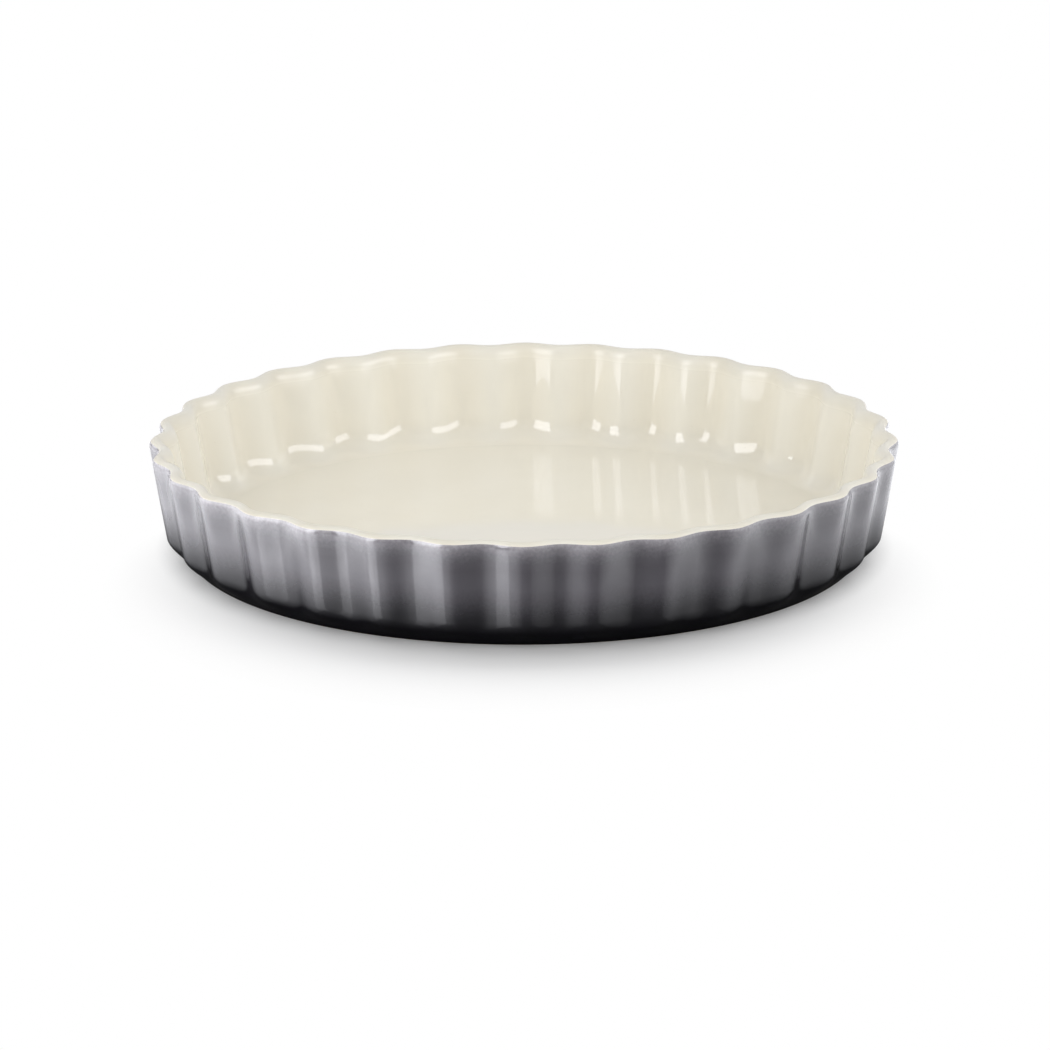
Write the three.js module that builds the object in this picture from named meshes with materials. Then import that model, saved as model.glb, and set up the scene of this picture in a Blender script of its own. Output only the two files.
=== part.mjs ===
// Fluted flan dish: one fired stoneware body with a cream glaze coat inside and over the rim,
// a graded grey coat outside, and a dark coat under the base within a bare foot ring.
// Millimetres, +Z up. The origin is the centre of the circle that the foot stands on.
import * as THREE from "three";
import { mergeVertices } from "three/addons/utils/BufferGeometryUtils.js";

// Outside of the glazed dish
const HEIGHT = 42; // from the table to the top of the rim
const RIM_DIAMETER = 280; // across the flute crests, where the rim is widest
const DRAFT_ANGLE = 10; // degrees that the wall leans out
const CORNER_HEIGHT = 10.4; // where the wall starts to round under
const CORNER_PULL = 5; // how far down the round keeps to the line of the wall
const FOOT_DIAMETER = 251.7; // across the lower edge of the outer coat
const FOOT_ANGLE = 50; // degrees above the table at which the round reaches the foot
const FOOT_PULL = 3.8; // how far up the round keeps to that angle

// Inside of the glazed dish
const WALL = 6.2; // through the wall below the rim, measured level
const RIM_ROUND = 2.7; // quarter round outside the top of the rim
const LIP_DROP = 5.5; // height of the softer quarter round inside it
const INNER_DRAFT_ANGLE = 10.7; // degrees that the inner face leans out
const FLOOR_HEIGHT = 5.5; // from the table to the baking surface
const FLOOR_FILLET = 8; // run of the round where the wall meets the floor

// Flutes, a wave that the wall follows inside and out
const FLUTES = 32;
const FLUTE_DEPTH = 3.3; // crest to groove

// Glaze and foot ring
const GLAZE = 0.5; // thickness of every glaze coat
const GLAZE_LINE = 0.5; // the outer coat stops this far above the table
const GLAZE_SEAM_ANGLE = 35; // degrees up the outer round of the rim, where the two glazes meet
const FOOT_RING_WIDTH = 8; // bare ring that the dish stands on
const RECESS_DEPTH = 1.2; // hollow of the bare body within the foot ring

// Fineness of the facets
const FLUTED_STEPS = 6; // around, for each flute
const PLAIN_STEPS = 3; // around, for each flute, where a ring is plain
const RIM_ANGLES = [0, GLAZE_SEAM_ANGLE, 90, 135, 180]; // over the rim, from outside to inside
const CORNER_STEPS = 3;
const FILLET_STEPS = 2;

// Finishes
const STONEWARE_COLOUR = 0xcdbda2;
const CREAM_COLOUR = 0xe9e1cb;
const RIM_GREY = 0xa9a6ac;
const FOOT_GREY = 0x1d1c20;
const GLOSS_ROUGHNESS = 0.12;
const BARE_ROUGHNESS = 0.85;

// Values that follow from the sizes above
const { degToRad } = THREE.MathUtils;
const fluteSwing = FLUTE_DEPTH / 2;
const ridgeRadius = RIM_DIAMETER / 2 - fluteSwing - RIM_ROUND;
const lipRun = WALL - RIM_ROUND;
const seamIndex = RIM_ANGLES.indexOf(GLAZE_SEAM_ANGLE);
const wallSlope = Math.tan(degToRad(DRAFT_ANGLE));
const innerSlope = Math.tan(degToRad(INNER_DRAFT_ANGLE));

// One ring of the dish: its mean radius, its height, and how far its flutes swing either side.
function ring(radius, height, flute = 0) {
  return { radius, height, flute };
}

// A ring on the straight outer wall, below the rim. The inset is the depth below the glaze.
function outerWall(height, inset) {
  const drop = HEIGHT - RIM_ROUND - height;
  return ring(ridgeRadius + RIM_ROUND - inset - drop * wallSlope, height, fluteSwing);
}

// A ring on the straight inner wall, below the lip.
function innerWall(height, inset) {
  const drop = HEIGHT - LIP_DROP - height;
  return ring(ridgeRadius - lipRun + inset - drop * innerSlope, height, fluteSwing);
}

function between(start, end, share) {
  const { lerp } = THREE.MathUtils;
  return ring(lerp(start.radius, end.radius, share), lerp(start.height, end.height, share));
}

// The rings of a round from the fluted wall to a plain ring, shaped by two handles. The flutes
// fade with the distance that is left to run, raised to a power.
function roundToPlain(wall, first, second, plain, steps, power) {
  const place = ({ radius, height }) => new THREE.Vector2(radius, height);
  const handles = [wall, first, second, plain].map(place);
  const run = wall.radius - plain.radius;
  const points = new THREE.CubicBezierCurve(...handles).getPoints(steps).slice(1, -1);
  const rounded = points.map(({ x, y }) => {
    const left = (x - plain.radius) / run;
    return ring(x, y, wall.flute * left ** power);
  });
  return [wall, ...rounded, plain];
}

// The outer face from the glaze line at the foot, round the corner and up to the wall.
function outerFace(inset) {
  const foot = ring(FOOT_DIAMETER / 2 - inset, GLAZE_LINE);
  const angle = degToRad(FOOT_ANGLE);
  const above = ring(
    foot.radius + FOOT_PULL * Math.cos(angle),
    foot.height + FOOT_PULL * Math.sin(angle),
  );
  const wall = outerWall(CORNER_HEIGHT, inset);
  const below = outerWall(CORNER_HEIGHT - CORNER_PULL, inset);
  return roundToPlain(wall, below, above, foot, CORNER_STEPS, 2).reverse();
}

// The rim from the outer face over its ridge to the inner face.
function rimFace(inset) {
  return RIM_ANGLES.map((degrees) => {
    const angle = degToRad(degrees);
    const [run, drop] = degrees > 90 ? [lipRun, LIP_DROP] : [RIM_ROUND, RIM_ROUND];
    const radius = ridgeRadius + (run - inset) * Math.cos(angle);
    const height = HEIGHT - drop + (drop - inset) * Math.sin(angle);
    return ring(radius, height, fluteSwing);
  });
}

// The inner face from the wall above the floor's fillet down to the middle of the floor.
function innerFace(inset) {
  const floor = FLOOR_HEIGHT - inset;
  const wall = innerWall(FLOOR_HEIGHT + FLOOR_FILLET, inset);
  const corner = innerWall(floor, inset);
  const edge = ring(corner.radius - FLOOR_FILLET, floor);
  const below = between(wall, corner, 2 / 3);
  const beside = between(edge, corner, 2 / 3);
  return [...roundToPlain(wall, below, beside, edge, FILLET_STEPS, 1), ring(0, floor)];
}

// The outside below the seam of the two glazes, and the inside and rim above it.
function belowSeam(inset) {
  return [...outerFace(inset), ...rimFace(inset).slice(0, seamIndex + 1)];
}

function aboveSeam(inset) {
  return [...rimFace(inset).slice(seamIndex), ...innerFace(inset)];
}

// The points of a ring, or one point on the axis.
function ringPoints({ radius, height, flute }) {
  if (radius === 0) {
    return [new THREE.Vector3(0, 0, height)];
  }
  const count = FLUTES * (flute > 0 ? FLUTED_STEPS : PLAIN_STEPS);
  return Array.from({ length: count }, (_, step) => {
    const angle = (2 * Math.PI * step) / count;
    const reach = radius + flute * Math.cos(FLUTES * angle);
    return new THREE.Vector3(reach * Math.cos(angle), reach * Math.sin(angle), height);
  });
}

// The band of triangles between two rings. A four-sided facet is split along its shorter
// diagonal, so that two coats which share a face split it alike.
function band(lower, upper) {
  const steps = Math.max(lower.length, upper.length);
  const at = (points, step) => points[Math.floor((step * points.length) / steps) % points.length];
  const corners = [];
  for (let step = 0; step < steps; step++) {
    const a = at(lower, step);
    const b = at(lower, step + 1);
    const c = at(upper, step + 1);
    const d = at(upper, step);
    if (a === b) {
      corners.push(a, c, d);
    } else if (c === d) {
      corners.push(a, b, c);
    } else if (a.distanceToSquared(c) < b.distanceToSquared(d)) {
      corners.push(a, b, c, a, c, d);
    } else {
      corners.push(a, b, d, b, c, d);
    }
  }
  return corners;
}

// A closed skin through rings that run counter-clockwise around the section of the solid,
// seen with the axis on the left.
function skin(rings) {
  const rows = rings.map(ringPoints);
  const corners = rows.slice(1).flatMap((row, index) => band(rows[index], row));
  const geometry = mergeVertices(new THREE.BufferGeometry().setFromPoints(corners));
  geometry.computeVertexNormals();
  return geometry;
}

// The fired clay, bare only at the foot ring.
function stonewareBody() {
  const footRadius = FOOT_DIAMETER / 2 - GLAZE;
  const recessRadius = footRadius - FOOT_RING_WIDTH;
  return skin([
    ring(0, RECESS_DEPTH),
    ring(recessRadius, RECESS_DEPTH),
    ring(recessRadius, 0),
    ring(footRadius, 0),
    ...belowSeam(GLAZE),
    ...aboveSeam(GLAZE).slice(1),
  ]);
}

// The cream coat over the floor, the inner wall and the rim.
function interiorGlaze() {
  return skin([...aboveSeam(GLAZE).reverse(), ...aboveSeam(0)]);
}

// The grey coat from the rim to the glaze line on the foot, pale above and dark below.
function exteriorGlaze() {
  const outside = belowSeam(0);
  const geometry = skin([...outside, ...belowSeam(GLAZE).reverse(), outside[0]]);
  const { position } = geometry.attributes;
  const colours = [];
  for (let index = 0; index < position.count; index++) {
    const rise = THREE.MathUtils.smoothstep(position.getZ(index), GLAZE_LINE, HEIGHT);
    const colour = new THREE.Color(FOOT_GREY).lerp(new THREE.Color(RIM_GREY), rise);
    colours.push(...colour.toArray());
  }
  return geometry.setAttribute("color", new THREE.Float32BufferAttribute(colours, 3));
}

// The dark coat in the recess under the base.
function baseGlaze() {
  const radius = FOOT_DIAMETER / 2 - GLAZE - FOOT_RING_WIDTH;
  const underside = RECESS_DEPTH - GLAZE;
  return skin([
    ring(0, underside),
    ring(radius, underside),
    ring(radius, RECESS_DEPTH),
    ring(0, RECESS_DEPTH),
  ]);
}

function finish(settings) {
  return new THREE.MeshStandardMaterial({ metalness: 0, roughness: GLOSS_ROUGHNESS, ...settings });
}

const dish = new THREE.Group();

function addPart(name, geometry, material) {
  const mesh = new THREE.Mesh(geometry, material);
  mesh.name = name;
  dish.add(mesh);
}

const bareClay = finish({ color: STONEWARE_COLOUR, roughness: BARE_ROUGHNESS });
addPart("stoneware_body", stonewareBody(), bareClay);
addPart("interior_glaze", interiorGlaze(), finish({ color: CREAM_COLOUR }));
addPart("exterior_glaze", exteriorGlaze(), finish({ vertexColors: true }));
addPart("base_glaze", baseGlaze(), finish({ color: FOOT_GREY }));

export default dish;
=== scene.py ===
import math
from collections import namedtuple

import bpy
import numpy as np
from mathutils import Matrix, Vector


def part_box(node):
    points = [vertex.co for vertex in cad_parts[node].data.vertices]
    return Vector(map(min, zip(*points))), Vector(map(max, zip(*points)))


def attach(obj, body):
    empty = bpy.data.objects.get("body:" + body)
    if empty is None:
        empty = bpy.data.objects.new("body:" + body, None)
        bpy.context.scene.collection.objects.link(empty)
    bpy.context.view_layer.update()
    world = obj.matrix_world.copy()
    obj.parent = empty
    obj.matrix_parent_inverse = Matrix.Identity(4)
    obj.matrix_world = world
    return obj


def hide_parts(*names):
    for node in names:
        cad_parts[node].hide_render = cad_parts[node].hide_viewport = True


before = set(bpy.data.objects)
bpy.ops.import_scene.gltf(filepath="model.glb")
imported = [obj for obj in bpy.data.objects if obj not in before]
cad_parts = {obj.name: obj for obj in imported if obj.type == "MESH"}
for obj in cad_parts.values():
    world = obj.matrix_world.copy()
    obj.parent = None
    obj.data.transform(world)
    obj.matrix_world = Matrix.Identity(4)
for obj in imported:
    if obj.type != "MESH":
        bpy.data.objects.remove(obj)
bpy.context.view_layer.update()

# Fluted flan dish: the four fired pieces remade at a finer step than in the CAD, on a pale table.
# All sizes are in metres.


# Measuring the CAD frame
LEVEL_SLACK = 2e-6  # how far the heights of points on one ring may differ


def cad_points(node):
    return np.array([vertex.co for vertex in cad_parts[node].data.vertices], float)


def levels(node):
    """The heights of a CAD node's rings, lowest first."""
    return np.unique(np.round(cad_points(node)[:, 2], 6))


def radii(node, level):
    """The distances from the axis of a CAD node's points on one ring level."""
    points = cad_points(node)
    points = points[np.abs(points[:, 2] - level) < LEVEL_SLACK]
    return np.hypot(points[:, 0], points[:, 1])


CREAM_LOW, CREAM_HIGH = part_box("interior_glaze")
GREY_LOW, GREY_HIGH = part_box("exterior_glaze")
BASE_LOW, BASE_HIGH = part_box("base_glaze")
CREAM_LEVELS = levels("interior_glaze")
GREY_LEVELS = levels("exterior_glaze")

HEIGHT = CREAM_HIGH.z
RIM_RADIUS = GREY_HIGH.x
GLAZE = BASE_HIGH.z - BASE_LOW.z
GLAZE_LINE = GREY_LOW.z
FLOOR = CREAM_LOW.z + GLAZE
RECESS = BASE_HIGH.z
RECESS_RADIUS = BASE_HIGH.x
FOOT_RADIUS = radii("exterior_glaze", GLAZE_LINE).max()
FLUTES = 32

# The outer wall, and the quarter round between it and the ridge of the rim
CORNER_LEVEL, RIM_LEVEL = GREY_LEVELS[-4:-2]
RIM_ROUND = HEIGHT - RIM_LEVEL
SEAM_ANGLE = math.asin((GREY_HIGH.z - RIM_LEVEL) / RIM_ROUND)
FLUTE_SWING = (np.ptp(radii("exterior_glaze", RIM_LEVEL)) - GLAZE) / 2
RIDGE = RIM_RADIUS - FLUTE_SWING - RIM_ROUND
CORNER_RADIUS = radii("exterior_glaze", CORNER_LEVEL).max()
WALL_SLOPE = (RIM_RADIUS - CORNER_RADIUS) / (RIM_LEVEL - CORNER_LEVEL)

# The inner wall, and the softer round between it and the ridge
FILLET_LEVEL, LIP_LEVEL = CREAM_LEVELS[CREAM_LEVELS < RIM_LEVEL][-2:]
FILLET = FILLET_LEVEL - FLOOR
LIP_DROP = HEIGHT - LIP_LEVEL
LIP_RADIUS = radii("interior_glaze", LIP_LEVEL).min()
LIP_RUN = RIDGE - FLUTE_SWING - LIP_RADIUS
FILLET_RADIUS = radii("interior_glaze", FILLET_LEVEL).min()
INNER_SLOPE = (LIP_RADIUS - FILLET_RADIUS) / (LIP_LEVEL - FILLET_LEVEL)

# The pull of the round at the lower corner: down the wall, and up from the foot at an angle
CORNER_PULL = 0.005
FOOT_PULL = 0.0038
FOOT_ANGLE = math.radians(50)
FILLET_PULL = 2 / 3  # share of the way to the sharp corner, inside

# How the flutes fade along a round: the power of the distance that is left to run
CORNER_FADE = 2.0
FILLET_FADE = 1.0

# Small rounds that the CAD leaves sharp
COAT_RUN = 0.00035  # how far the grey coat runs down past its line
COAT_EASE = 0.0003  # lower edge of the grey coat
FOOT_EASE = 0.0003  # edges of the bare foot ring
BASE_CREEP = GLAZE  # how far the base coat creeps down beside the foot ring
BASE_COVE = 0.015  # share of the recess over which it does

# Hand and kiln: how far the fired dish strays from its drawing
FLUTE_FADE = 0.08  # share of the flute depth that the shallowest flute lacks
FLUTE_SHIFT = 0.0024  # radians over which a flute may stand off its place
WARP = 0.00022  # how far the rim is pulled in
SLUMP = 0.00016  # how far the rim sinks

# Fineness of the meshes
STEPS = FLUTES * 16
ANGLE = np.arange(STEPS) * 2 * math.pi / STEPS
CORNER_STEPS = 26
WALL_STEPS = 10
OUTER_RIM_STEPS = 10
RIDGE_STEPS = 9
INNER_RIM_STEPS = 16
FILLET_STEPS = 20
FLOOR_STEPS = 11
RECESS_STEPS = 8
EDGE_STEPS = 5
CREASE_ANGLE = math.radians(40)  # edges sharper than this are not smoothed


def make_drift(seed, harmonics):
    """A slow wander around the dish, from 0 to 1, always the same for a seed."""
    rng = np.random.default_rng(seed)
    wave = np.zeros(STEPS)
    for harmonic in range(2, harmonics + 2):
        phase = rng.uniform(0, 2 * math.pi)
        wave += rng.normal() / harmonic * np.cos(harmonic * ANGLE + phase)
    return (wave - wave.min()) / np.ptp(wave)


DEPTH_DRIFT = 1 - FLUTE_FADE * make_drift(3, 14)
SHIFT_DRIFT = FLUTE_SHIFT * (make_drift(5, 9) - 0.5)
WARP_DRIFT = WARP * make_drift(8, 4)
SLUMP_DRIFT = SLUMP * make_drift(13, 4)
FLUTE_WAVE = np.cos(FLUTES * (ANGLE + SHIFT_DRIFT))

# Outlines are lists of rings: mean radius, height and share of the flute swing
Ring = namedtuple("Ring", "radius height flute", defaults=(0.0,))


def outer_wall(height, inset):
    """A ring on the outer wall. The inset is the depth below the face of the glaze."""
    return Ring(RIDGE + RIM_ROUND - inset - (RIM_LEVEL - height) * WALL_SLOPE, height, 1.0)


def inner_wall(height, inset):
    return Ring(RIDGE - LIP_RUN + inset - (LIP_LEVEL - height) * INNER_SLOPE, height, 1.0)


def between(start, end, share):
    radius = start.radius + share * (end.radius - start.radius)
    return Ring(radius, start.height + share * (end.height - start.height))


def disc(radius, height, start, end, count):
    """Plain rings on a level face, from one share of its radius to another."""
    return [Ring(radius * share, height) for share in np.linspace(start, end, count)]


def round_to_plain(wall, first, second, plain, count, power):
    """A round from the fluted wall to a plain ring, shaped by two handles, where the flutes fade."""
    handles = (wall, first, second, plain)
    rings = []
    for t in np.linspace(0, 1, count):
        weights = ((1 - t) ** 3, 3 * t * (1 - t) ** 2, 3 * t * t * (1 - t), t ** 3)
        radius = sum(weight * handle.radius for weight, handle in zip(weights, handles))
        height = sum(weight * handle.height for weight, handle in zip(weights, handles))
        left = (radius - plain.radius) / (wall.radius - plain.radius)
        rings.append(Ring(radius, height, max(left, 0.0) ** power))
    return rings


def outer_corner(inset):
    """From the foot round the lower corner to the wall."""
    foot = Ring(FOOT_RADIUS - inset, GLAZE_LINE)
    above = Ring(
        foot.radius + FOOT_PULL * math.cos(FOOT_ANGLE),
        foot.height + FOOT_PULL * math.sin(FOOT_ANGLE),
    )
    wall = outer_wall(CORNER_LEVEL, inset)
    below = outer_wall(CORNER_LEVEL - CORNER_PULL, inset)
    return round_to_plain(wall, below, above, foot, CORNER_STEPS, CORNER_FADE)[::-1]


def rim_round(run, height, slope):
    """The reach and the leaning angle of one of the rim's two rounds, tangent to its wall."""
    reach = math.sqrt(run ** 2 - (slope * height) ** 2)
    return reach, math.atan(slope * height / reach)


def rim_outside(inset, from_wall):
    """The outer round of the rim, from the wall to the seam of the two glazes or on to the ridge."""
    height = RIM_ROUND - inset
    reach, lean = rim_round(height, height, WALL_SLOPE)
    if from_wall:
        angles = np.linspace(-lean, SEAM_ANGLE, OUTER_RIM_STEPS)
    else:
        angles = np.linspace(SEAM_ANGLE, math.pi / 2, RIDGE_STEPS)
    return [Ring(RIDGE + reach * math.cos(a), RIM_LEVEL + height * math.sin(a), 1.0) for a in angles]


def rim_inside(inset):
    """The inner round of the rim, from the ridge to the wall."""
    height = LIP_DROP - inset
    reach, lean = rim_round(LIP_RUN - inset, height, INNER_SLOPE)
    angles = np.linspace(math.pi / 2, math.pi - lean, INNER_RIM_STEPS)
    return [Ring(RIDGE + reach * math.cos(a), LIP_LEVEL + height * math.sin(a), 1.0) for a in angles]


def below_seam(inset):
    """The outside from the foot to the seam of the two glazes."""
    rim = rim_outside(inset, True)
    wall = [outer_wall(z, inset) for z in np.linspace(CORNER_LEVEL, rim[0].height, WALL_STEPS)]
    return outer_corner(inset) + wall[1:-1] + rim


def above_seam(inset):
    """The rim from the seam, the inner wall, the fillet and the floor."""
    floor = FLOOR - inset
    rim = rim_outside(inset, False) + rim_inside(inset)[1:]
    wall = [inner_wall(z, inset) for z in np.linspace(rim[-1].height, FILLET_LEVEL, WALL_STEPS)]
    start = inner_wall(FILLET_LEVEL, inset)
    corner = inner_wall(floor, inset)
    edge = Ring(corner.radius - FILLET, floor)
    below = between(start, corner, FILLET_PULL)
    beside = between(edge, corner, FILLET_PULL)
    fillet = round_to_plain(start, below, beside, edge, FILLET_STEPS, FILLET_FADE)
    flat = disc(edge.radius, floor, 0.94, 0.08, FLOOR_STEPS)
    return rim + wall[1:-1] + fillet + flat + [Ring(0.0, floor)]


def coat_edge():
    """The lower edge of the grey coat, which rounds under to the bare foot."""
    low = GLAZE_LINE - COAT_RUN
    rings = [Ring(FOOT_RADIUS - GLAZE, low)]
    for turn in np.linspace(0, math.pi / 2, EDGE_STEPS):
        radius = FOOT_RADIUS - COAT_EASE * (2 - math.sin(turn))
        rings.append(Ring(radius, low + COAT_EASE * (1 - math.cos(turn))))
    return rings


# Meshes
def band(low, low_ring, high, high_ring):
    """The faces between two rings, given the first vertex of each. A ring of no radius is one vertex."""
    faces = []
    for step in range(STEPS):
        after = (step + 1) % STEPS
        if low_ring.radius == 0:
            faces.append((low, high + after, high + step))
        elif high_ring.radius == 0:
            faces.append((low + step, low + after, high))
        else:
            faces.append((low + step, low + after, high + after, high + step))
    return faces


def lathe(name, outline):
    """A closed mesh through an outline that runs from axis to axis or back to its first ring."""
    vertices, crest, rows, faces = [], [], [], []
    for ring in outline:
        rows.append((len(vertices), ring))
        if ring.radius == 0:
            vertices.append((0.0, 0.0, ring.height))
            crest.append(0.0)
            continue
        rise = (ring.height / HEIGHT) ** 2
        swing = ring.flute * FLUTE_SWING * DEPTH_DRIFT * FLUTE_WAVE
        reach = ring.radius + swing - rise * WARP_DRIFT
        level = ring.height - rise * SLUMP_DRIFT
        vertices.extend(zip(reach * np.cos(ANGLE), reach * np.sin(ANGLE), level))
        crest.extend(ring.flute * FLUTE_WAVE)
    closing = rows[:1] if outline[0].radius > 0 else []
    for lower, upper in zip(rows, rows[1:] + closing):
        faces.extend(band(*lower, *upper))
    mesh = bpy.data.meshes.new(name)
    mesh.from_pydata(vertices, [], faces)
    mesh.validate()
    mesh.shade_smooth()
    mesh.set_sharp_from_angle(angle=CREASE_ANGLE)
    values = np.array(crest, np.float32)
    mesh.attributes.new("crest", "FLOAT", "POINT").data.foreach_set("value", values)
    return mesh


def add_piece(name, outline, material, node):
    piece = bpy.data.objects.new(name, lathe(name, outline))
    piece.data.materials.append(material)
    bpy.context.scene.collection.objects.link(piece)
    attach(piece, "root")
    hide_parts(node)


# Node trees
class Nodes:
    """The node tree of a material, a lamp or the world, built from short calls."""

    def __init__(self, owner):
        owner.use_nodes = True
        self.tree = owner.node_tree
        self.tree.nodes.clear()

    def add(self, kind, sockets=None, **settings):
        node = self.tree.nodes.new(kind)
        for name, value in settings.items():
            setattr(node, name, value)
        for name, value in (sockets or {}).items():
            if isinstance(value, bpy.types.NodeSocket):
                self.tree.links.new(value, node.inputs[name])
            else:
                node.inputs[name].default_value = value
        return node

    def place(self):
        return self.add("ShaderNodeTexCoord").outputs["Object"]

    def noise(self, size, detail, roughness=0.55):
        """Noise whose features are about that many metres across."""
        sockets = {"Vector": self.place(), "Scale": 1 / size, "Detail": detail, "Roughness": roughness}
        return self.add("ShaderNodeTexNoise", sockets).outputs[0]

    def cloud(self, size, detail, low, high):
        """Noise of that size whose usual swing runs from one value to another."""
        return self.fit(self.noise(size, detail), 0.3, 0.7, low, high)

    def spots(self, size, reach):
        """1 in the middle of scattered specks, 0 between them."""
        sockets = {"Vector": self.place(), "Scale": 1 / size}
        distance = self.add("ShaderNodeTexVoronoi", sockets).outputs["Distance"]
        return self.fit(distance, 0.0, reach, 1.0, 0.0)

    def fit(self, value, low, high, to_low, to_high):
        sockets = {"Value": value, "From Min": low, "From Max": high, "To Min": to_low, "To Max": to_high}
        return self.add("ShaderNodeMapRange", sockets).outputs["Result"]

    def math(self, operation, a, b):
        return self.add("ShaderNodeMath", {0: a, 1: b}, operation=operation).outputs[0]

    def distance(self, centre=(0.0, 0.0, 0.0), scale=(1.0, 1.0, 1.0)):
        """How far away a centre is, with the axes scaled."""
        kind = "ShaderNodeVectorMath"
        moved = self.add(kind, {0: self.place(), 1: centre}, operation="SUBTRACT").outputs["Vector"]
        scaled = self.add(kind, {0: moved, 1: scale}, operation="MULTIPLY").outputs["Vector"]
        return self.add(kind, {0: scaled}, operation="LENGTH").outputs["Value"]

    def mix(self, factor, a, b, blend="MIX"):
        node = self.add("ShaderNodeMix", {0: factor, 6: a, 7: b}, data_type="RGBA", blend_type=blend)
        return node.outputs[2]

    def crest(self):
        """1 on the crests of the flutes, -1 in the grooves and 0 where the dish is plain."""
        return self.add("ShaderNodeAttribute", attribute_name="crest").outputs["Fac"]

    def rise(self):
        """The height above the table."""
        return self.add("ShaderNodeSeparateXYZ", {0: self.place()}).outputs["Z"]

    def ramp(self, value, stops):
        node = self.add("ShaderNodeValToRGB", {0: value})
        elements = node.color_ramp.elements
        for position, _ in stops[2:]:
            elements.new(position)
        for element, (position, colour) in zip(elements, stops):
            element.position = position
            element.color = (*colour, 1.0)
        return node.outputs["Color"]

    def bump(self, height, distance, normal=None):
        sockets = {"Height": height, "Distance": distance, "Strength": 1.0}
        if normal is not None:
            sockets["Normal"] = normal
        return self.add("ShaderNodeBump", sockets).outputs["Normal"]

    def shader(self, kind, sockets):
        return self.add(kind, sockets).outputs[0]

    def blend(self, share, first, second):
        return self.shader("ShaderNodeMixShader", {0: share, 1: first, 2: second})

    def glow(self, strength):
        return self.shader("ShaderNodeEmission", {"Color": grey(1.0), "Strength": strength})

    def surface(self, shader):
        self.add("ShaderNodeOutputMaterial", {"Surface": shader})


def grey(value):
    return (value, value, value, 1.0)


# Materials
GLAZE_IOR = 1.56
RIM_DULLING = (LIP_LEVEL - 0.003, LIP_LEVEL + 0.001)  # heights between which the cream coat gets duller


def glaze(nodes, colour, roughness, waviness, rim_roughness=None):
    """A glossy fired coat: slightly uneven gloss, duller along the rim, and not quite flat."""
    ripple = nodes.noise(0.011, 1.0)
    peel = nodes.noise(0.0022, 2.0)
    normal = nodes.bump(ripple, waviness)
    normal = nodes.bump(peel, waviness * 0.06, normal)
    patchy = nodes.cloud(0.02, 2.0, roughness * 0.8, roughness * 1.25)
    if rim_roughness is not None:
        patchy = nodes.fit(nodes.rise(), *RIM_DULLING, patchy, rim_roughness)
    sockets = {"Base Color": colour, "Roughness": patchy, "IOR": GLAZE_IOR, "Normal": normal}
    nodes.surface(nodes.shader("ShaderNodeBsdfPrincipled", sockets))


CREAM = (0.845, 0.815, 0.725, 1.0)
POOLED_CREAM = (0.825, 0.780, 0.665, 1.0)
CREAM_SPECK = (0.52, 0.42, 0.29, 1.0)
CREAM_SPECK_SHARE = 0.22
PAINTED_RIM_SHADE = 0.91  # painted shade darkening the ridge of the rim, so that its lit top reads no paler than the floor


def cream_glaze():
    """Cream, yellower where the coat pools in the hollows of the flutes, with the odd faint speck and
    painted shade on the ridge of the rim.
    """
    material = bpy.data.materials.new("cream_glaze")
    nodes = Nodes(material)
    pooled = nodes.fit(nodes.crest(), -1.0, 1.0, 0.0, 1.0)
    pooled = nodes.math("MULTIPLY", pooled, nodes.cloud(0.03, 3.0, 0.5, 1.0))
    colour = nodes.mix(pooled, CREAM, POOLED_CREAM)
    colour = nodes.mix(1.0, colour, nodes.cloud(0.045, 4.0, 0.975, 1.01), "MULTIPLY")
    # painted shade: darker towards the ridge of the rim, where the lit top would read paler than the
    # floor
    painted_ridge_shade = nodes.fit(nodes.rise(), LIP_LEVEL, HEIGHT, 1.0, PAINTED_RIM_SHADE)
    colour = nodes.mix(1.0, colour, painted_ridge_shade, "MULTIPLY")
    speck = nodes.math("MULTIPLY", nodes.spots(0.006, 0.06), CREAM_SPECK_SHARE)
    colour = nodes.mix(speck, colour, CREAM_SPECK)
    glaze(nodes, colour, roughness=0.032, waviness=0.00004, rim_roughness=0.32)
    return material


# Height above the table in millimetres, and the colour of the outer coat there
GREY_STOPS = [
    (0, (0.0030, 0.0027, 0.0044)),
    (9, (0.0033, 0.0030, 0.0048)),
    (12, (0.0066, 0.0060, 0.0086)),
    (15, (0.0182, 0.0168, 0.0212)),
    (18, (0.0360, 0.0334, 0.0402)),
    (21, (0.0500, 0.0464, 0.0552)),
    (24, (0.0600, 0.0557, 0.0662)),
    (27, (0.0575, 0.0535, 0.0634)),
    (31, (0.0510, 0.0474, 0.0562)),
    (34, (0.0610, 0.0570, 0.0666)),
    (36.5, (0.0930, 0.0875, 0.0995)),
    (39, (0.1600, 0.1520, 0.1680)),
    (42, (0.3300, 0.3180, 0.3400)),
]


def graded_grey_glaze():
    """Sprayed grey that deepens to near black at the foot, a little paler on the flute crests."""
    material = bpy.data.materials.new("graded_grey_glaze")
    nodes = Nodes(material)
    share = nodes.fit(nodes.rise(), 0.0, HEIGHT, 0.0, 1.0)
    drift = nodes.cloud(0.035, 3.0, -0.03, 0.03)
    mist = nodes.cloud(0.0012, 2.0, -0.015, 0.015)
    share = nodes.math("ADD", share, nodes.math("ADD", drift, mist))
    colour = nodes.ramp(share, [(0.001 * level / HEIGHT, colour) for level, colour in GREY_STOPS])
    paler = nodes.fit(nodes.crest(), -1.0, 1.0, 0.94, 1.08)
    colour = nodes.mix(1.0, colour, paler, "MULTIPLY")
    glaze(nodes, colour, roughness=0.055, waviness=0.00003)
    return material


BASE_DARK = (0.011, 0.011, 0.013, 1.0)
BASE_BROWN = (0.022, 0.019, 0.018, 1.0)
PINHOLE = (0.10, 0.085, 0.07, 1.0)


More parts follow.
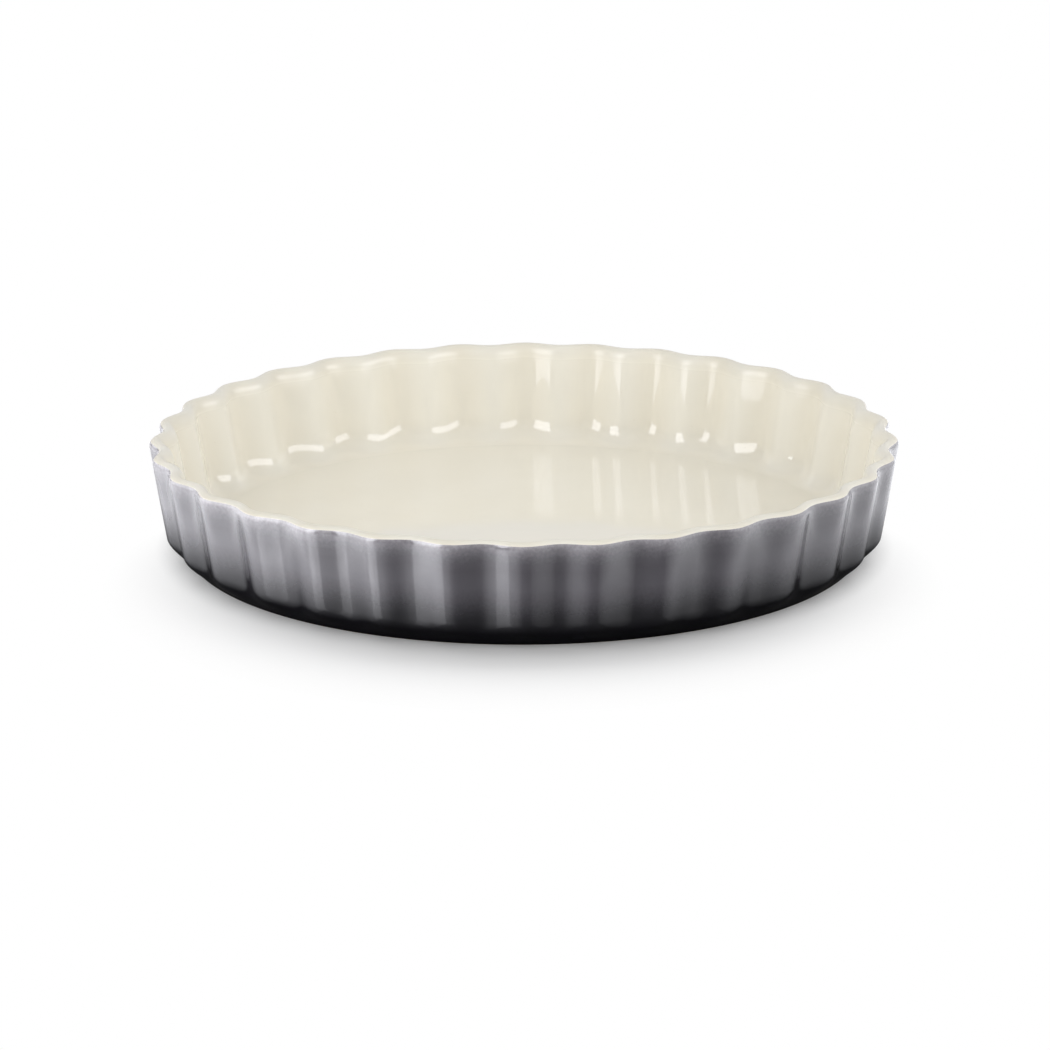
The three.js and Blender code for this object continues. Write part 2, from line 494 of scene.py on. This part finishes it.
def dark_grey_glaze():
    """The near-black coat under the base, with faint brown clouds and pinholes."""
    material = bpy.data.materials.new("dark_grey_glaze")
    nodes = Nodes(material)
    brown = nodes.fit(nodes.noise(0.02, 4.0), 0.35, 0.7, 0.0, 1.0)
    colour = nodes.mix(brown, BASE_DARK, BASE_BROWN)
    colour = nodes.mix(nodes.spots(0.005, 0.05), colour, PINHOLE)
    glaze(nodes, colour, roughness=0.14, waviness=0.00006)
    return material


CLAY = (0.56, 0.46, 0.33, 1.0)
PALE_CLAY = (0.66, 0.56, 0.42, 1.0)
IRON_SPECK = (0.24, 0.16, 0.10, 1.0)
CLAY_ROUGHNESS = 0.88
GRAIN_HEIGHT = 0.00012


def bare_stoneware():
    """Buff fired clay with sandy grain and dark iron specks."""
    material = bpy.data.materials.new("bare_stoneware")
    nodes = Nodes(material)
    colour = nodes.mix(nodes.cloud(0.012, 4.0, 0.0, 1.0), CLAY, PALE_CLAY)
    colour = nodes.mix(nodes.spots(0.0025, 0.16), colour, IRON_SPECK)
    normal = nodes.bump(nodes.noise(0.0006, 3.0, 0.7), GRAIN_HEIGHT)
    sockets = {"Base Color": colour, "Roughness": CLAY_ROUGHNESS, "Normal": normal}
    nodes.surface(nodes.shader("ShaderNodeBsdfPrincipled", sockets))
    return material


# The dish
def build_grey_coat():
    outline = coat_edge() + below_seam(0) + below_seam(GLAZE)[::-1]
    add_piece("grey_coat", outline, graded_grey_glaze(), "exterior_glaze")


def build_cream_coat():
    outline = above_seam(GLAZE)[::-1] + above_seam(0)
    add_piece("cream_coat", outline, cream_glaze(), "interior_glaze")


def build_clay_body():
    foot = FOOT_RADIUS - GLAZE
    outline = [Ring(0.0, RECESS)] + disc(RECESS_RADIUS, RECESS, 0.1, 1, RECESS_STEPS)
    outline += [Ring(RECESS_RADIUS, RECESS / 2), Ring(RECESS_RADIUS, FOOT_EASE)]
    outline += [Ring(RECESS_RADIUS + FOOT_EASE, 0.0), Ring(foot - FOOT_EASE, 0.0)]
    outline += [Ring(foot, FOOT_EASE)]
    outline += below_seam(GLAZE) + above_seam(GLAZE)[1:]
    add_piece("clay_body", outline, bare_stoneware(), "stoneware_body")


def build_base_coat():
    under = RECESS - GLAZE
    outline = [Ring(0.0, under)] + disc(RECESS_RADIUS, under, 0.1, 1 - BASE_COVE, RECESS_STEPS + 1)
    outline += [Ring(RECESS_RADIUS, under - BASE_CREEP), Ring(RECESS_RADIUS, RECESS)]
    outline += disc(RECESS_RADIUS, RECESS, 0.9, 0.1, RECESS_STEPS) + [Ring(0.0, RECESS)]
    add_piece("base_coat", outline, dark_grey_glaze(), "base_glaze")


# The table. The camera sees it lit, and white beyond the shadow. The glaze mirrors its polish.
TABLE_SIZE = 12.0
TABLE_COLOUR = 0.80
TABLE_GLOW = 0.12  # what the camera sees on top of the lit table
SHADOW_CENTRE = (0.0, -0.05, 0.0)
SHADOW_REACH = (0.085, 0.155)  # from that centre, where the table turns to plain white
CONTACT_REACH = (0.124, 0.138)  # from the axis, where the shadow is kept all round the foot
POLISH_REACH = (0.130, 0.168)  # from the axis, where the painted shadow beside the foot gives way to the polish that mirrors the lamps
POLISH_SCALE = (0.95, 1.0, 1.0)  # the polish starts farther out at the sides, so the painted shadow beside the foot reaches farther there
POLISH = 0.90
SHARP_BLUR = 0.06
BROAD_BLUR = 0.55
BROAD_SHARE = 0.68
# painted shadow: the dark table that the glaze mirrors beside the foot, where the dish shades it
PAINTED_SHADOW_COLOUR = 0.10


def seen_table(nodes, path):
    """The table for the camera, and for the light that it throws back on the dish."""
    camera = path.outputs["Is Camera Ray"]
    lit = nodes.shader("ShaderNodeBsdfDiffuse", {"Color": grey(TABLE_COLOUR)})
    glow = nodes.glow(nodes.math("MULTIPLY", camera, TABLE_GLOW))
    lit = nodes.shader("ShaderNodeAddShader", {0: lit, 1: glow})
    far = nodes.fit(nodes.distance(SHADOW_CENTRE), *SHADOW_REACH, 0.0, 1.0)
    far = nodes.math("MULTIPLY", far, nodes.fit(nodes.distance(), *CONTACT_REACH, 0.0, 1.0))
    far = nodes.math("MULTIPLY", far, camera)
    return nodes.blend(far, lit, nodes.glow(1.0))


def mirrored_table(nodes):
    """The table as the glaze mirrors it: a painted shadow, dark beside the foot, then a polish with a
    blurred sheen.
    """
    kind = "ShaderNodeBsdfAnisotropic"
    sharp = nodes.shader(kind, {"Color": grey(1.0), "Roughness": SHARP_BLUR})
    broad = nodes.shader(kind, {"Color": grey(1.0), "Roughness": BROAD_BLUR})
    polish = nodes.blend(BROAD_SHARE, sharp, broad)
    # painted shadow beside the foot, seen only in reflections in the glaze
    dark = nodes.shader("ShaderNodeBsdfDiffuse", {"Color": grey(PAINTED_SHADOW_COLOUR)})
    share = nodes.fit(nodes.distance(scale=POLISH_SCALE), *POLISH_REACH, 0.0, POLISH)
    return nodes.blend(share, dark, polish)


def build_table():
    half = TABLE_SIZE / 2
    corners = [(-half, -half, 0), (half, -half, 0), (half, half, 0), (-half, half, 0)]
    mesh = bpy.data.meshes.new("table")
    mesh.from_pydata(corners, [], [(0, 1, 2, 3)])
    table = bpy.data.objects.new("table", mesh)
    bpy.context.scene.collection.objects.link(table)
    material = bpy.data.materials.new("table")
    nodes = Nodes(material)
    path = nodes.add("ShaderNodeLightPath")
    glossy = path.outputs["Is Glossy Ray"]
    nodes.surface(nodes.blend(glossy, seen_table(nodes, path), mirrored_table(nodes)))
    mesh.materials.append(material)


# Light: an even white tent, washes that only give soft light and cards that are only seen mirrored
AMBIENT = 0.76
MIRRORED_AMBIENT = 0.20
CARD_TINT = (0.995, 1.0, 1.045)

INSIDE = ["cream_coat"]
OUTSIDE = ["grey_coat", "table"]

# Name, azimuth, spread, lower edge, upper edge, radiance and the pieces that the lamp lights.
# Angles are in degrees, seen from the dish: the azimuth turns from the front to the right.
WASHES = [
    ("left_wash", -56, 40, 0, 46, 2.0, INSIDE),
    ("right_wash", 68, 60, 9, 37, 1.9, INSIDE),
    ("outer_wash", -60, 60, 5, 50, 4.0, ["grey_coat"]),
    ("back_wash", 180, 60, 28, 80, 2.0, ["table"]),
]

# The same, and the shares of the card over which its glow fades to the sides and to the foot
CARDS = [
    ("left_box", -53, 26, 0, 46, 4.6, INSIDE, 0.0, 0.25),
    ("right_box", 68, 60, 11, 34, 3.7, INSIDE, 0.0, 0.0),
    ("inner_backdrop", 180, 110, 4, 40, 0.55, INSIDE, 0.0, 0.0),
    ("outer_backdrop", 180, 110, 4, 40, 0.9, OUTSIDE, 0.0, 0.0),
    ("front_card", -25, 40, 0, 50, 2.4, ["table"], 0.4, 0.0),
    ("left_key", -52, 26, 0, 46, 5.2, OUTSIDE, 0.0, 0.0),
    ("left_card", -90, 98, 0, 55, 5.2, OUTSIDE, 0.36, 0.06),
    ("right_card", 90, 110, 0, 55, 3.1, OUTSIDE, 0.36, 0.0),
    ("right_edge", 148, 40, 0, 55, 1.2, OUTSIDE, 0.3, 0.0),
]
LEAST_FADE = 0.001  # stands for a sharp edge on a card that fades at another


def build_world():
    """An even white tent, darker where it is seen mirrored in the glaze."""
    world = bpy.data.worlds.new("studio")
    bpy.context.scene.world = world
    nodes = Nodes(world)
    path = nodes.add("ShaderNodeLightPath")
    strength = nodes.fit(path.outputs["Is Glossy Ray"], 0.0, 1.0, AMBIENT, MIRRORED_AMBIENT)
    strength = nodes.fit(path.outputs["Is Camera Ray"], 0.0, 1.0, strength, 1.0)
    background = nodes.shader("ShaderNodeBackground", {"Color": grey(1.0), "Strength": strength})
    nodes.add("ShaderNodeOutputWorld", {"Surface": background})


def softbox(name, azimuth, spread, low, high, radiance, receivers):
    """A glowing rectangle 1 m away that faces the dish and lights only some pieces."""
    turn, rise = math.radians(azimuth), math.radians((low + high) / 2)
    lamp = bpy.data.lights.new(name, "AREA")
    lamp.shape = "RECTANGLE"
    lamp.size = 2 * math.tan(math.radians(spread / 2))
    lamp.size_y = 2 * math.tan(math.radians((high - low) / 2))
    lamp.energy = radiance * math.pi * lamp.size * lamp.size_y
    box = bpy.data.objects.new(name, lamp)
    level = math.cos(rise)
    box.location = (level * math.sin(turn), -level * math.cos(turn), math.sin(rise))
    box.rotation_euler = (math.pi / 2 - rise, 0, turn)
    box.visible_camera = False
    bpy.context.scene.collection.objects.link(box)
    lit = bpy.data.collections.new(name)
    for receiver in receivers:
        lit.objects.link(bpy.data.objects[receiver])
    box.light_linking.receiver_collection = lit
    return box


def fade_card(lamp, sides, foot):
    nodes = Nodes(lamp)
    spot = nodes.add("ShaderNodeNewGeometry").outputs["Parametric"]
    spot = nodes.add("ShaderNodeSeparateXYZ", {0: spot})
    across, up = spot.outputs["X"], spot.outputs["Y"]
    edge = nodes.math("MINIMUM", across, nodes.math("SUBTRACT", 1.0, across))
    strength = nodes.fit(edge, 0.0, max(sides, LEAST_FADE), 0.0, 1.0)
    upward = nodes.fit(up, 0.0, max(foot, LEAST_FADE), 0.0, 1.0)
    glow = nodes.glow(nodes.math("MULTIPLY", strength, upward))
    nodes.add("ShaderNodeOutputLight", {"Surface": glow})


def build_lights():
    for wash in WASHES:
        box = softbox(*wash)
        box.data.cycles.use_multiple_importance_sampling = False
        box.visible_glossy = False
    for *card, sides, foot in CARDS:
        box = softbox(*card)
        box.data.color = CARD_TINT
        box.visible_diffuse = False
        if max(sides, foot) > 0:
            fade_card(box.data, sides, foot)


# The camera, fitted to the outline of the dish in the photograph
CAMERA_DISTANCE = 2.700
CAMERA_RISE = math.radians(16.403)
CAMERA_TURN = math.radians(0.30)
CAMERA_ROLL = math.radians(0.193)
CAMERA_SIDE = 0.00027
CAMERA_TARGET = 0.00791  # height of the point that it looks at
PHOTO_WIDTH = 1050  # pixels
FOCAL_PIXELS = 7215.7
SENSOR_WIDTH = 36.0  # millimetres


def build_camera():
    data = bpy.data.cameras.new("camera")
    data.lens = FOCAL_PIXELS / PHOTO_WIDTH * SENSOR_WIDTH
    data.sensor_width = SENSOR_WIDTH
    data.clip_start, data.clip_end = 0.05, 50.0
    camera = bpy.data.objects.new("camera", data)
    bpy.context.scene.collection.objects.link(camera)
    cosine, sine = math.cos(CAMERA_RISE), math.sin(CAMERA_RISE)
    right, up, back = Vector((1, 0, 0)), Vector((0, sine, cosine)), Vector((0, -cosine, sine))
    rolled_right = right * math.cos(CAMERA_ROLL) - up * math.sin(CAMERA_ROLL)
    rolled_up = right * math.sin(CAMERA_ROLL) + up * math.cos(CAMERA_ROLL)
    pose = Matrix((rolled_right, rolled_up, back)).transposed().to_4x4()
    pose.translation = back * CAMERA_DISTANCE + Vector((CAMERA_SIDE, 0, CAMERA_TARGET))
    camera.matrix_world = Matrix.Rotation(CAMERA_TURN, 4, "Z") @ pose
    bpy.context.scene.camera = camera


build_grey_coat()
build_cream_coat()
build_clay_body()
build_base_coat()
build_table()
build_world()
build_lights()
build_camera()
bpy.context.scene.view_settings.view_transform = "Standard"
